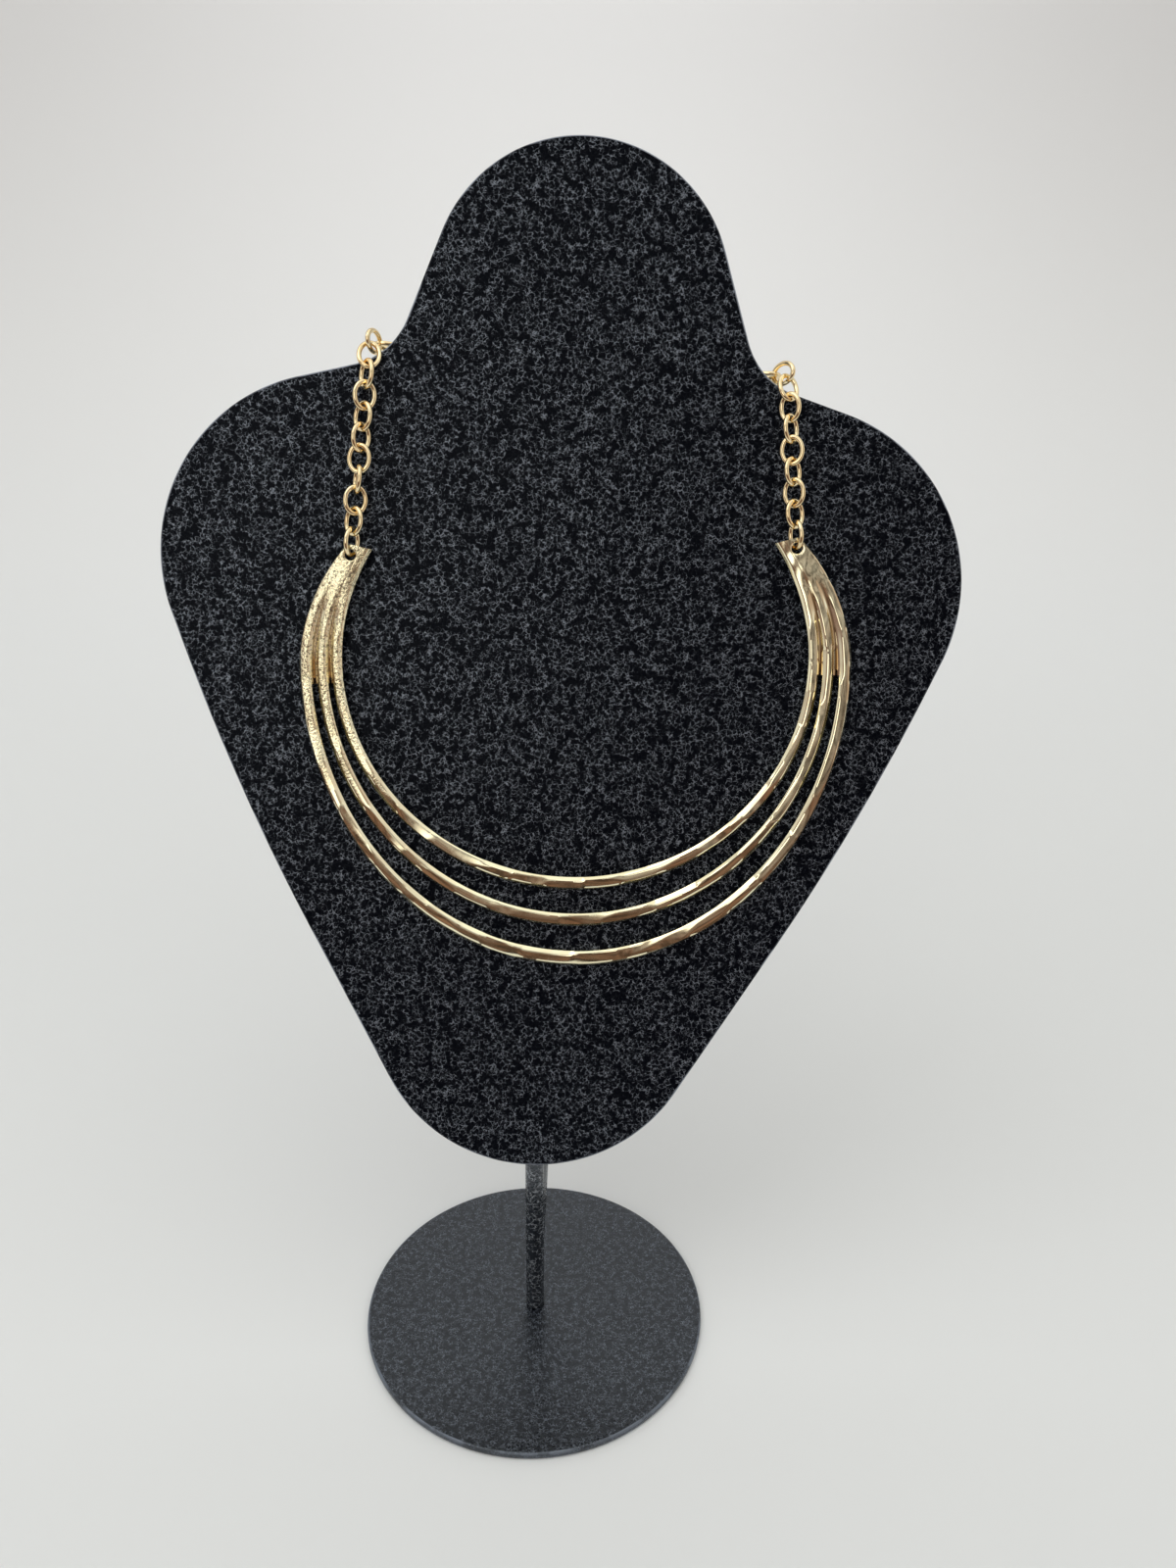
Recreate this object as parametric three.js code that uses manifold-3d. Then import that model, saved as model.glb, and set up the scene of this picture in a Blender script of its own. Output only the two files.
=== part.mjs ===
// A three-row bib necklace of hammered gold-toned metal with a cable chain, on a plain black display stand:
// a round base disc, a post with a brace, and a flat bust-shaped plate that leans back.
// Millimetres, +Z up. The origin is the middle of the base's underside and the plate faces -Y.
import * as THREE from "three";
import { mergeVertices } from "three/addons/utils/BufferGeometryUtils.js";
import Module from "manifold-3d";

const wasm = await Module();
wasm.setup();

// Clearances
const SEAT_GAP = 0.3; // between pieces that rest on each other
const WIRE_GAP = 0.15; // between the wires of two links pulled tight
const MERGE_DISTANCE = 1e-4; // within which two points of a surface are one

// Base disc
const BASE_RADIUS = 50.8;
const BASE_THICKNESS = 2;
const BASE_EDGE = 0.5; // rounding of the rim
const BASE_SIDES = 72;

// Post and brace: two rods welded into one piece
const ROD_RADIUS = 2.75;
const ROD_SIDES = 20;
const BRACE_HEIGHT = 24; // above the base, where the brace leaves the post
const BRACE_LEAN = 5; // degrees back
const BRACE_SWAY = 2.5; // degrees to the right
const BRACE_SET_BACK = 2; // of the brace's axis behind the post's, at its foot

// Bust plate: a polygon with rounded corners, the same on both sides of its axis. Its lengths are shares of the
// plate's height.
const PLATE_HEIGHT = 280;
const PLATE_THICKNESS = 1.5;
const PLATE_LEAN = 15; // degrees back from upright
const PLATE_SWAY = 3.1; // degrees that its top leans to the right
const PLATE_RISE = 55.4; // of its lowest point above the base
const PLATE_SHIFT = -1.9; // of its lowest point across from the post
const PLATE_EDGE = 0.35; // bevel round the sheet's edge
const PLATE_CORNERS = [
  { across: 0, up: 1.2821, radius: 0.1407, steps: 24 },
  { across: 0.1729, up: 0.7911, radius: 0.0711, steps: 8 },
  { across: 0.4446, up: 0.715, radius: 0.1707, steps: 16 },
  { across: 0.3043, up: 0.3682, radius: 2.21, steps: 5 },
  { across: 0, up: -0.1661, radius: 0.1661, steps: 20 },
];

// Collar: three flattened bars that meet in a flat plate at each end, cast in one
const COLLAR_ACROSS = 11.5; // of its lowest point from the plate's axis
const COLLAR_UP = 60.9; // of its lowest point from the plate's lowest point
const COLLAR_TURN = 4.6; // degrees that its right end sits higher, in the plate's face
const COLLAR_THICKNESS = 2;
const COLLAR_HALF_WIDTH = 74.1;
const COLLAR_DROP = 82.1; // from its widest place down to its lowest point
const COLLAR_RISE = 58; // height of the ellipses' upper halves
// Each bar lies between two half ellipses. Half widths of its inner and outer edge are shares of the collar's half
// width; their lowest points, and the height of their widest place, are shares of its drop.
const BARS = [
  { inner: 0.8455, outer: 0.8839, top: 0.3057, bottom: 0.2631, middle: 1.0268 },
  { inner: 0.8988, outer: 0.9379, top: 0.1803, bottom: 0.1376, middle: 1.0146 },
  { inner: 0.9582, outer: 1, top: 0.0499, bottom: 0, middle: 1 },
];
// Section of a bar: shares of its width from the inner edge, and of the collar's thickness.
const BAR_SECTION = [
  { across: 0.08, height: 0 },
  { across: 0, height: 0.22 },
  { across: 0, height: 0.62 },
  { across: 0.26, height: 1 },
  { across: 0.8, height: 0.95 },
  { across: 1, height: 0.55 },
  { across: 1, height: 0.22 },
  { across: 0.92, height: 0 },
];
const FACET_LENGTH = 5.2; // of the hammered facets along a bar
const FACET_WANDER = 0.12; // of the ridges across a bar, as a share of its width
const FACET_STEP = 2.4; // radians of that wander from one facet to the next
const FACET_SHIFT = 1.7; // radians of it from one bar to the next
const SLOT_TOP = 79.5; // height at which the openings between the bars end
const GROOVE_TOP = 104; // height at which the grooves between the bars fade out
const GROOVE_DEPTH = 0.95;
const GROOVE_FLOOR = 0.5; // width of its floor, as a share of the gap between two bars
const GROOVE_MOUTH = 1.2; // width above the surface, as a share of the same gap
const GROOVE_NARROWING = 0.7; // share of its width that it has lost at the top
const END_THICKNESS = 1.8;
const HOLE_DIAMETER = 3;
const HOLE_INSET = 4.8; // of the hole's middle from the end's inner edge
const HOLE_UP = 113.2;
const END_LIGAMENT = 2.7; // from the hole's middle to the top of the end
const END_WIDTH = 5.6; // of the straight top of the end, from its inner corner
const END_CORNER = 0.55; // place of the outer corner on the slanted edge, as a share of its length
const END_CORNER_BULGE = 0.5; // of that corner, up and outwards
const COLLAR_LIFT = 2.9; // of the ends off the plate, where the last link passes behind
const COLLAR_TOLERANCE = 0.01; // to which its mesh is simplified

// Chain: oval links of round wire
const LINK_LENGTH = 8.3;
const LINK_WIDTH = 6.6;
const LINK_WIRE = 1.3;
const LINK_SIDES = 16;
const WIRE_SIDES = 6;
const CHAIN_BACK_DEPTH = 5.9; // of the back run behind the plate's face
// Where the hanging link's wire lies in the crossing link, as shares of that link's half length and half width
const HOOK_FORWARD = 0.4;
const HOOK_DROP = 0.31;
// Turns of the links of a front run whose count differs from the turns listed for it
const EVEN_TURN = 45;
const HOLE_TURN = 68;
// Where the chain crosses the plate's edge on each side, and how its links are turned, from the collar up.
// turn is in degrees about the link's length: 0 lies flat on the plate, positive has its right side forward.
const CHAIN_SIDES = [
  {
    side: -1,
    fromNotch: 5.1, // of the crossing from the notch between neck and shoulder
    yaw: 18, // degrees that the crossing link points inwards
    hang: 21, // degrees that the link below it leans forward
    hangTurn: -12,
    turns: [-66, 36, -22, 68, 6, -52, 36, -28, 50],
  },
  {
    side: 1,
    fromNotch: 6.4,
    yaw: 36,
    hang: 20,
    hangTurn: -26,
    turns: [68, -34, 36, -40, 18, -46, 42],
  },
];

// Clasp behind the neck: one plain piece with an eye at each end
const CLASP_LENGTH = 12.2;
const CLASP_HEIGHT = 5.6;
const CLASP_THICKNESS = 2;
const CLASP_EYE = 3;
const CLASP_RIM = 1; // of metal round an eye

const DEG = Math.PI / 180;
const stand_black = { color: 0x16191c, roughness: 0.35, metalness: 0.4 };
const collar_gold = { color: 0xd9c48a, roughness: 0.22, metalness: 1 };
const chain_gold = { color: 0xd8ae5c, roughness: 0.25, metalness: 1 };

// Solids and meshes

function toSolid(geometry) {
  const bare = geometry.clone();
  bare.deleteAttribute("normal");
  bare.deleteAttribute("uv");
  const merged = mergeVertices(bare, MERGE_DISTANCE);
  const vertProperties = new Float32Array(merged.attributes.position.array);
  const triVerts = new Uint32Array(merged.index.array);
  return new wasm.Manifold(new wasm.Mesh({ numProp: 3, vertProperties, triVerts }));
}

function toGeometry(solid) {
  const mesh = solid.getMesh();
  const geometry = new THREE.BufferGeometry();
  geometry.setAttribute("position", new THREE.BufferAttribute(new Float32Array(mesh.vertProperties), 3));
  geometry.setIndex(new THREE.BufferAttribute(new Uint32Array(mesh.triVerts), 1));
  geometry.computeVertexNormals();
  return geometry;
}

function namedMesh(name, geometry, finish) {
  const mesh = new THREE.Mesh(geometry, new THREE.MeshStandardMaterial(finish));
  mesh.name = name;
  return mesh;
}

// A solid through rings of equal counts of points. An open loft is capped by fans, a closed one has no ends.
function loft(rings, closed) {
  const sides = rings[0].length;
  const points = rings.flat();
  const index = [];
  const last = closed ? rings.length : rings.length - 1;
  for (let i = 0; i < last; i++) {
    const here = i * sides;
    const next = ((i + 1) % rings.length) * sides;
    for (let j = 0; j < sides; j++) {
      const k = (j + 1) % sides;
      index.push(here + j, here + k, next + k, here + j, next + k, next + j);
    }
  }
  if (!closed) {
    const end = (rings.length - 1) * sides;
    for (let j = 1; j < sides - 1; j++) {
      index.push(0, j + 1, j, end, end + j, end + j + 1);
    }
  }
  const geometry = new THREE.BufferGeometry().setFromPoints(points);
  geometry.setIndex(index);
  if (signedVolume(points, index) < 0) {
    geometry.setIndex(index.slice().reverse());
  }
  geometry.computeVertexNormals();
  return geometry;
}

function signedVolume(points, index) {
  const cross = new THREE.Vector3();
  let sum = 0;
  for (let i = 0; i < index.length; i += 3) {
    sum += points[index[i]].dot(cross.crossVectors(points[index[i + 1]], points[index[i + 2]]));
  }
  return sum;
}

// Frame of the plate's face: x across, y up the plate, z out towards the viewer, from its lowest point

const plateCorners = PLATE_CORNERS.map((c) => ({
  across: c.across * PLATE_HEIGHT,
  up: c.up * PLATE_HEIGHT,
  radius: c.radius * PLATE_HEIGHT,
  steps: c.steps,
}));
const seatDepth = PLATE_THICKNESS / Math.cos(PLATE_LEAN * DEG);
const plateFrame = new THREE.Group();
plateFrame.position.set(PLATE_SHIFT, -ROD_RADIUS - SEAT_GAP - seatDepth, BASE_THICKNESS + PLATE_RISE);
plateFrame.rotation.set((90 - PLATE_LEAN) * DEG, 0, -PLATE_SWAY * DEG);
plateFrame.updateMatrix();

// Points of the plate's outline: each corner of the polygon is rounded by an arc that touches both its sides.
function plateOutline() {
  const right = plateCorners.slice(1, -1);
  const left = right.map((c) => ({ ...c, across: -c.across }));
  const corners = [plateCorners[0], ...left, plateCorners.at(-1), ...right.slice().reverse()];
  const at = (i) => new THREE.Vector2(corners[i].across, corners[i].up);
  const count = corners.length;
  const points = [];
  corners.forEach((corner, i) => {
    const here = at(i);
    const before = at((i + count - 1) % count).sub(here).normalize();
    const after = at((i + 1) % count).sub(here).normalize();
    const half = Math.acos(before.dot(after)) / 2;
    const start = before.clone().multiplyScalar(corner.radius / Math.tan(half)).add(here);
    const end = after.clone().multiplyScalar(corner.radius / Math.tan(half)).add(here);
    const middle = before.clone().add(after).normalize().multiplyScalar(corner.radius / Math.sin(half)).add(here);
    const from = start.clone().sub(middle).angle();
    let sweep = end.clone().sub(middle).angle() - from;
    sweep = THREE.MathUtils.euclideanModulo(sweep + Math.PI, 2 * Math.PI) - Math.PI;
    for (let k = 0; k <= corner.steps; k++) {
      const angle = from + (sweep * k) / corner.steps;
      points.push(new THREE.Vector2(Math.cos(angle), Math.sin(angle)).multiplyScalar(corner.radius).add(middle));
    }
  });
  return points;
}

// Height of the plate's shoulder edge at a place across.
function shoulderHeight(across) {
  const outline = plateOutline();
  let height = 0;
  outline.forEach((p, i) => {
    const q = outline[(i + 1) % outline.length];
    if ((p.x - across) * (q.x - across) <= 0 && p.x !== q.x) {
      height = Math.max(height, p.y + ((q.y - p.y) * (across - p.x)) / (q.x - p.x));
    }
  });
  return height;
}

function makePlate() {
  const bevel = { bevelEnabled: true, bevelSegments: 1, bevelSize: PLATE_EDGE, bevelThickness: PLATE_EDGE };
  const depth = PLATE_THICKNESS - 2 * PLATE_EDGE;
  const shape = new THREE.Shape(plateOutline());
  const geometry = new THREE.ExtrudeGeometry(shape, { ...bevel, bevelOffset: -PLATE_EDGE, depth, steps: 1 });
  geometry.translate(0, 0, PLATE_EDGE - PLATE_THICKNESS);
  return geometry;
}

// Stand

function makeBase() {
  const inner = BASE_RADIUS - BASE_EDGE;
  const profile = [
    new THREE.Vector2(0, 0),
    new THREE.Vector2(inner, 0),
    new THREE.Vector2(BASE_RADIUS, BASE_EDGE),
    new THREE.Vector2(BASE_RADIUS, BASE_THICKNESS - BASE_EDGE),
    new THREE.Vector2(inner, BASE_THICKNESS),
    new THREE.Vector2(0, BASE_THICKNESS),
  ];
  return new THREE.LatheGeometry(profile, BASE_SIDES).rotateX(Math.PI / 2);
}

// Everything that lies in front of a plane just behind the plate, as one large slab.
function frontSlab() {
  const reach = plateCorners[0].up;
  const slab = new THREE.BoxGeometry(2 * reach, 2 * reach, reach);
  slab.translate(0, 0, reach / 2 - PLATE_THICKNESS - SEAT_GAP);
  return slab.applyMatrix4(plateFrame.matrix);
}

// Both rods start longer than they end: the slab cuts their tops off behind the plate.
function makePost() {
  const foot = BASE_THICKNESS + SEAT_GAP;
  const reach = plateCorners[0].up;
  const rod = new THREE.CylinderGeometry(ROD_RADIUS, ROD_RADIUS, reach, ROD_SIDES);
  rod.rotateX(Math.PI / 2).translate(0, 0, reach / 2);
  const post = rod.clone().translate(0, 0, foot);
  const brace = rod.clone();
  brace.rotateX(-BRACE_LEAN * DEG).rotateY(BRACE_SWAY * DEG);
  brace.translate(0, BRACE_SET_BACK, BASE_THICKNESS + BRACE_HEIGHT);
  return toGeometry(toSolid(post).add(toSolid(brace)).subtract(toSolid(frontSlab())));
}

// Collar, in its own frame: x across, y up from the lowest point of its outer edge, z forward from its back

const collarTilt = Math.asin((COLLAR_LIFT - SEAT_GAP) / HOLE_UP);
const collarFrame = new THREE.Group();
collarFrame.position.set(COLLAR_ACROSS, COLLAR_UP, SEAT_GAP);
collarFrame.rotation.set(collarTilt, 0, COLLAR_TURN * DEG);
collarFrame.updateMatrix();

const bars = BARS.map((bar) => ({
  inner: bar.inner * COLLAR_HALF_WIDTH,
  outer: bar.outer * COLLAR_HALF_WIDTH,
  top: bar.top * COLLAR_DROP,
  bottom: bar.bottom * COLLAR_DROP,
  middle: bar.middle * COLLAR_DROP,
}));

// A point of an edge: angle 0 is its widest place on the right, 90 its lowest point, 180 the widest on the left.
function edgePoint(halfWidth, lowest, middle, angle) {
  const drop = Math.sin(angle * DEG);
  const reach = drop > 0 ? middle - lowest : COLLAR_RISE;
  return new THREE.Vector2(halfWidth * Math.cos(angle * DEG), middle - reach * drop);
}

// The angle at which an edge reaches a height above its widest place.
function angleAt(middle, height) {
  return -Math.asin((height - middle) / COLLAR_RISE) / DEG;
}

// Middle of the right end's hole, from the inner edge of the end at its height.
function holeMiddle() {
  const bar = bars[0];
  const edge = edgePoint(bar.inner, bar.top, bar.middle, angleAt(bar.middle, HOLE_UP));
  return new THREE.Vector2(edge.x + HOLE_INSET, HOLE_UP);
}

function makeBar(bar, phase) {
  const start = angleAt(bar.middle, GROOVE_TOP);
  const length = Math.PI * Math.sqrt((bar.outer ** 2 + (bar.middle - bar.bottom) ** 2) / 2);
  const stations = 2 * Math.round(length / FACET_LENGTH / 2);
  const rings = [];
  for (let i = 0; i <= stations; i++) {
    const angle = start + ((180 - 2 * start) * i) / stations;
    const inner = edgePoint(bar.inner, bar.top, bar.middle, angle);
    const outer = edgePoint(bar.outer, bar.bottom, bar.middle, angle);
    const wander = FACET_WANDER * Math.sin(FACET_STEP * i + phase);
    rings.push(
      BAR_SECTION.map((s) => {
        const share = s.height > 0.9 ? s.across + wander : s.across;
        const p = inner.clone().lerp(outer, share);
        return new THREE.Vector3(p.x, p.y, s.height * COLLAR_THICKNESS);
      }),
    );
  }
  return toSolid(loft(rings, false));
}

// Outline of the right end plate: up its outer edge, across its cut top and down its inner edge.
function endOutline() {
  const [first, last] = [bars[0], bars.at(-1)];
  const top = HOLE_UP + END_LIGAMENT;
  const steps = 10;
  const outer = [];
  const inner = [];
  const outerTop = angleAt(last.middle, top - END_LIGAMENT);
  const innerTop = angleAt(first.middle, top - END_LIGAMENT / 2);
  for (let i = 0; i <= steps; i++) {
    const low = angleAt(last.middle, SLOT_TOP);
    outer.push(edgePoint(last.outer, last.bottom, last.middle, low + ((outerTop - low) * i) / steps));
    const lowInner = angleAt(first.middle, SLOT_TOP);
    inner.push(edgePoint(first.inner, first.top, first.middle, lowInner + ((innerTop - lowInner) * i) / steps));
  }
  const corner = inner.at(-1);
  const crest = new THREE.Vector2(corner.x + END_WIDTH, top);
  const bulge = new THREE.Vector2(END_CORNER_BULGE, END_CORNER_BULGE);
  const shoulder = crest.clone().lerp(outer.at(-1), END_CORNER).add(bulge);
  return [...outer, shoulder, crest, ...inner.reverse()];
}

function makeEnd() {
  const shape = new THREE.Shape(endOutline());
  const hole = new THREE.Path();
  const middle = holeMiddle();
  hole.absarc(middle.x, middle.y, HOLE_DIAMETER / 2, 0, 2 * Math.PI, true);
  shape.holes.push(hole);
  const options = { depth: END_THICKNESS, bevelEnabled: false, curveSegments: 8 };
  return toSolid(new THREE.ExtrudeGeometry(shape, options));
}

// A groove between two bars of the right end: a V that grows shallower and narrower towards the top.
function makeGroove(innerBar, outerBar) {
  const middle = (innerBar.middle + outerBar.middle) / 2;
  const [low, high] = [angleAt(middle, SLOT_TOP - 1), angleAt(middle, GROOVE_TOP)];
  const steps = 6;
  const rings = [];
  for (let i = 0; i <= steps; i++) {
    const share = i / steps;
    const angle = low + (high - low) * share;
    const a = edgePoint(innerBar.outer, innerBar.bottom, innerBar.middle, angle);
    const b = edgePoint(outerBar.inner, outerBar.top, outerBar.middle, angle);
    const floor = END_THICKNESS - GROOVE_DEPTH * (1 - share);
    const place = (width, z) => {
      const p = a.clone().lerp(b, 0.5 + (width / 2) * (1 - GROOVE_NARROWING * share));
      return new THREE.Vector3(p.x, p.y, z);
    };
    const above = END_THICKNESS + 1;
    rings.push([
      place(-GROOVE_MOUTH, above),
      place(GROOVE_MOUTH, above),
      place(GROOVE_FLOOR, floor),
      place(-GROOVE_FLOOR, floor),
    ]);
  }
  return toSolid(loft(rings, false));
}

function makeCollar() {
  let end = makeEnd();
  for (let i = 0; i + 1 < bars.length; i++) {
    end = end.subtract(makeGroove(bars[i], bars[i + 1]));
  }
  let collar = end.add(end.mirror([1, 0, 0]));
  bars.forEach((bar, i) => {
    collar = collar.add(makeBar(bar, FACET_SHIFT * i));
  });
  return toGeometry(collar.simplify(COLLAR_TOLERANCE));
}

// Chain

const wireReach = (LINK_LENGTH - LINK_WIRE) / 2; // from a link's middle to the middle of its end wire
const wireSpread = (LINK_WIDTH - LINK_WIRE) / 2;
const wirePitch = LINK_WIRE + WIRE_GAP; // between the crossing wires of two links pulled tight

// A link about its own middle: its length along y, its width along x.
function makeLink() {
  const rings = [];
  for (let i = 0; i < LINK_SIDES; i++) {
    const angle = (2 * Math.PI * (i + 0.5)) / LINK_SIDES;
    const middle = new THREE.Vector3(wireSpread * Math.cos(angle), wireReach * Math.sin(angle), 0);
    const out = new THREE.Vector3(wireReach * Math.cos(angle), wireSpread * Math.sin(angle), 0).normalize();
    const ring = [];
    for (let j = 0; j < WIRE_SIDES; j++) {
      const turn = (2 * Math.PI * j) / WIRE_SIDES;
      const offset = out.clone().multiplyScalar((LINK_WIRE / 2) * Math.cos(turn));
      offset.z = (LINK_WIRE / 2) * Math.sin(turn);
      ring.push(middle.clone().add(offset));
    }
    rings.push(ring);
  }
  return loft(rings, true);
}

// A link's place: its middle, its direction, and the side that its width points to.
function placeLink(middle, along, side) {
  const y = along.clone().normalize();
  const x = side.clone().addScaledVector(y, -side.dot(y)).normalize();
  const z = new THREE.Vector3().crossVectors(x, y);
  return new THREE.Matrix4().makeBasis(x, y, z).setPosition(middle);
}

// A straight run of links between two points that are the middles of wires. When the run starts with its
// own wire, as in the collar's hole, the first link begins there; at every other end it hooks what is there.
// The count of links is a multiple of step.
function straightRun(from, to, ownStart, step, sideOf) {
  const distance = from.distanceTo(to);
  const hooks = ownStart ? 0 : 1;
  const pitch = 2 * wireReach - wirePitch;
  const count = step * Math.ceil((distance + hooks * wirePitch) / pitch / step);
  const lap = (count * 2 * wireReach - distance) / (count + hooks);
  const along = to.clone().sub(from).normalize();
  const places = [];
  for (let i = 0; i < count; i++) {
    const reach = wireReach + i * (2 * wireReach - lap) - hooks * lap;
    places.push(placeLink(from.clone().addScaledVector(along, reach), along, sideOf(i, count)));
  }
  return places;
}

const ACROSS = new THREE.Vector3(1, 0, 0);
const UP = new THREE.Vector3(0, 1, 0);
const OUT = new THREE.Vector3(0, 0, 1);

function turnedSide(turn) {
  return new THREE.Vector3(Math.cos(turn * DEG), 0, Math.sin(turn * DEG));
}

// The turn of a link in a front run: as listed, or to one side and the other from the hanging link down.
function frontTurn(turns, i, count) {
  if (count === turns.length) {
    return turns[i];
  }
  const turn = i ? EVEN_TURN : HOLE_TURN;
  return (count - i) % 2 ? turn : -turn;
}

// The links of one side, from the collar's hole over the plate's edge to the back run, in the plate's frame.
function sideOfChain(row) {
  const middle = holeMiddle();
  const hole = new THREE.Vector3(row.side * middle.x, middle.y, END_THICKNESS / 2);
  hole.applyMatrix4(collarFrame.matrix);

  // The crossing link stands on the plate's edge and points through to the back.
  const across = row.side * (plateCorners[1].across + row.fromNotch);
  const edge = Math.max(shoulderHeight(across - LINK_WIRE / 2), shoulderHeight(across + LINK_WIRE / 2));
  const crossing = new THREE.Vector3(across, edge + SEAT_GAP + LINK_WIDTH / 2, -PLATE_THICKNESS / 2);
  const back = new THREE.Vector3(-row.side * Math.sin(row.yaw * DEG), 0, -Math.cos(row.yaw * DEG));
  const crossingLink = placeLink(crossing, back, UP);

  // The link below it hangs in the lower front corner of its opening.
  const hook = crossing.clone().addScaledVector(back, -HOOK_FORWARD * wireReach);
  hook.addScaledVector(UP, -HOOK_DROP * wireSpread);
  const lean = new THREE.Vector3(0, Math.cos(row.hang * DEG), -Math.sin(row.hang * DEG));
  lean.x = (hook.x - hole.x) / hook.distanceTo(hole);
  lean.normalize();
  const sag = hook.clone().addScaledVector(lean, -2 * wireReach);
  const hangingLink = placeLink(hook.clone().addScaledVector(lean, -wireReach), lean, turnedSide(row.hangTurn));

  const front = straightRun(hole, sag, true, 1, (i, count) => turnedSide(frontTurn(row.turns, i, count)));

  // The first link behind the plate lies level and leads to the back run.
  const rear = crossing.clone().addScaledVector(back, wireReach);
  const fall = Math.asin((CHAIN_BACK_DEPTH + rear.z) / (2 * wireReach - wirePitch));
  const inward = new THREE.Vector3(-row.side * Math.cos(fall), 0, -Math.sin(fall));
  const passing = rear.clone().addScaledVector(inward, wireReach - wirePitch);
  const passingLink = placeLink(passing, inward, OUT);
  const level = new THREE.Vector3(-row.side, 0, 0);
  const end = passing.clone().addScaledVector(inward, wireReach - wirePitch).addScaledVector(level, wirePitch);
  return { places: [...front, hangingLink, crossingLink, passingLink], end };
}

function makeClasp() {
  const shape = new THREE.Shape();
  const round = CLASP_HEIGHT / 2;
  const straight = CLASP_LENGTH / 2 - round;
  shape.absarc(straight, 0, round, -Math.PI / 2, Math.PI / 2, false);
  shape.absarc(-straight, 0, round, Math.PI / 2, (3 * Math.PI) / 2, false);
  const eyeAcross = CLASP_LENGTH / 2 - CLASP_RIM - CLASP_EYE / 2;
  [-eyeAcross, eyeAcross].forEach((x) => {
    const eye = new THREE.Path();
    eye.absarc(x, 0, CLASP_EYE / 2, 0, 2 * Math.PI, true);
    shape.holes.push(eye);
  });
  const options = { depth: CLASP_THICKNESS, bevelEnabled: false, curveSegments: 10 };
  return new THREE.ExtrudeGeometry(shape, options).translate(0, 0, -CLASP_THICKNESS / 2);
}

// Assembly

const necklace = new THREE.Group();
const [left, right] = CHAIN_SIDES.map(sideOfChain);

const claspWire = CLASP_LENGTH / 2 - LINK_WIRE / 2;
const claspMiddle = left.end.clone().add(right.end).multiplyScalar(0.5);
const backAlong = right.end.clone().sub(left.end).normalize();
const backRuns = [left, right].map((half, i) => {
  const toward = i ? -1 : 1;
  const eye = claspMiddle.clone().addScaledVector(backAlong, -toward * claspWire);
  return straightRun(half.end, eye, false, 2, (k) => (k % 2 ? OUT : UP));
});

const linkPlaces = [...left.places, ...backRuns[0], ...backRuns[1].reverse(), ...right.places.reverse()];
const linkGeometry = makeLink();
linkPlaces.forEach((place, i) => {
  const link = namedMesh(`link_${String(i + 1).padStart(2, "0")}`, linkGeometry, chain_gold);
  link.applyMatrix4(place);
  plateFrame.add(link);
});

const clasp = namedMesh("clasp", makeClasp(), chain_gold);
const claspUp = UP.clone().addScaledVector(backAlong, -UP.dot(backAlong)).normalize();
const claspOut = new THREE.Vector3().crossVectors(backAlong, claspUp);
clasp.applyMatrix4(new THREE.Matrix4().makeBasis(backAlong, claspUp, claspOut).setPosition(claspMiddle));
plateFrame.add(clasp);

collarFrame.add(namedMesh("collar", makeCollar(), collar_gold));
plateFrame.add(collarFrame);
plateFrame.add(namedMesh("stand_plate", makePlate(), stand_black));
necklace.add(plateFrame);
necklace.add(namedMesh("stand_base", makeBase(), stand_black));
necklace.add(namedMesh("stand_post", makePost(), stand_black));

export default necklace;
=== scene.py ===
"""A three-row bib necklace of hammered gold-toned metal, hung by its chain on a black display stand.

The stand is a bust-shaped sheet of steel that leans back on a post with a brace, on a round base. Sizes
here are millimetres and become metres in the mesh. The plate faces -Y and +Z is up.
"""

import bpy
import numpy as np
from mathutils import Matrix


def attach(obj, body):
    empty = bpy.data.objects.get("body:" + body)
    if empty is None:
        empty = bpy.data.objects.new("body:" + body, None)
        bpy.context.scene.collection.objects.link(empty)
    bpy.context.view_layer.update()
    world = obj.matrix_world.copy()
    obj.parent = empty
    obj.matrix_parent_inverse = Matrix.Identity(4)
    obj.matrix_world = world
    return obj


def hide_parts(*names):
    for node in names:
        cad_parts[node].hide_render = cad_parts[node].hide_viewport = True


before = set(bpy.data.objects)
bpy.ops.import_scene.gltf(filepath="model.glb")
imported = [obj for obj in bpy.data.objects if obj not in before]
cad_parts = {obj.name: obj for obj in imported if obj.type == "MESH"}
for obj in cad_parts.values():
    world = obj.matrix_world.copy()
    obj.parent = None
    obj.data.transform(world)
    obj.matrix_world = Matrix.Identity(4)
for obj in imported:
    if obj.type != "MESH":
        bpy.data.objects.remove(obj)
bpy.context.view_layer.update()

# The photograph's view: from the front, a little to the right, and above the plate's middle.
# The camera looks down at the plate and is turned slightly about its own line of sight.
MM = 0.001
CAMERA_PLACE = (8.85, -264.0, 278.8)
CAMERA_TURN = 1.08
CAMERA_DOWN = 21.64
CAMERA_ROLL = 0.87
FOCAL_LENGTH = 25.875

turn, down, roll = np.radians([CAMERA_TURN, CAMERA_DOWN, CAMERA_ROLL])
ahead = np.array([np.sin(turn) * np.cos(down), np.cos(turn) * np.cos(down), -np.sin(down)])
level_right = np.array([np.cos(turn), -np.sin(turn), 0.0])
level_up = np.cross(level_right, ahead)
view_right = level_right * np.cos(roll) + level_up * np.sin(roll)
view_up = level_up * np.cos(roll) - level_right * np.sin(roll)

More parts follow.
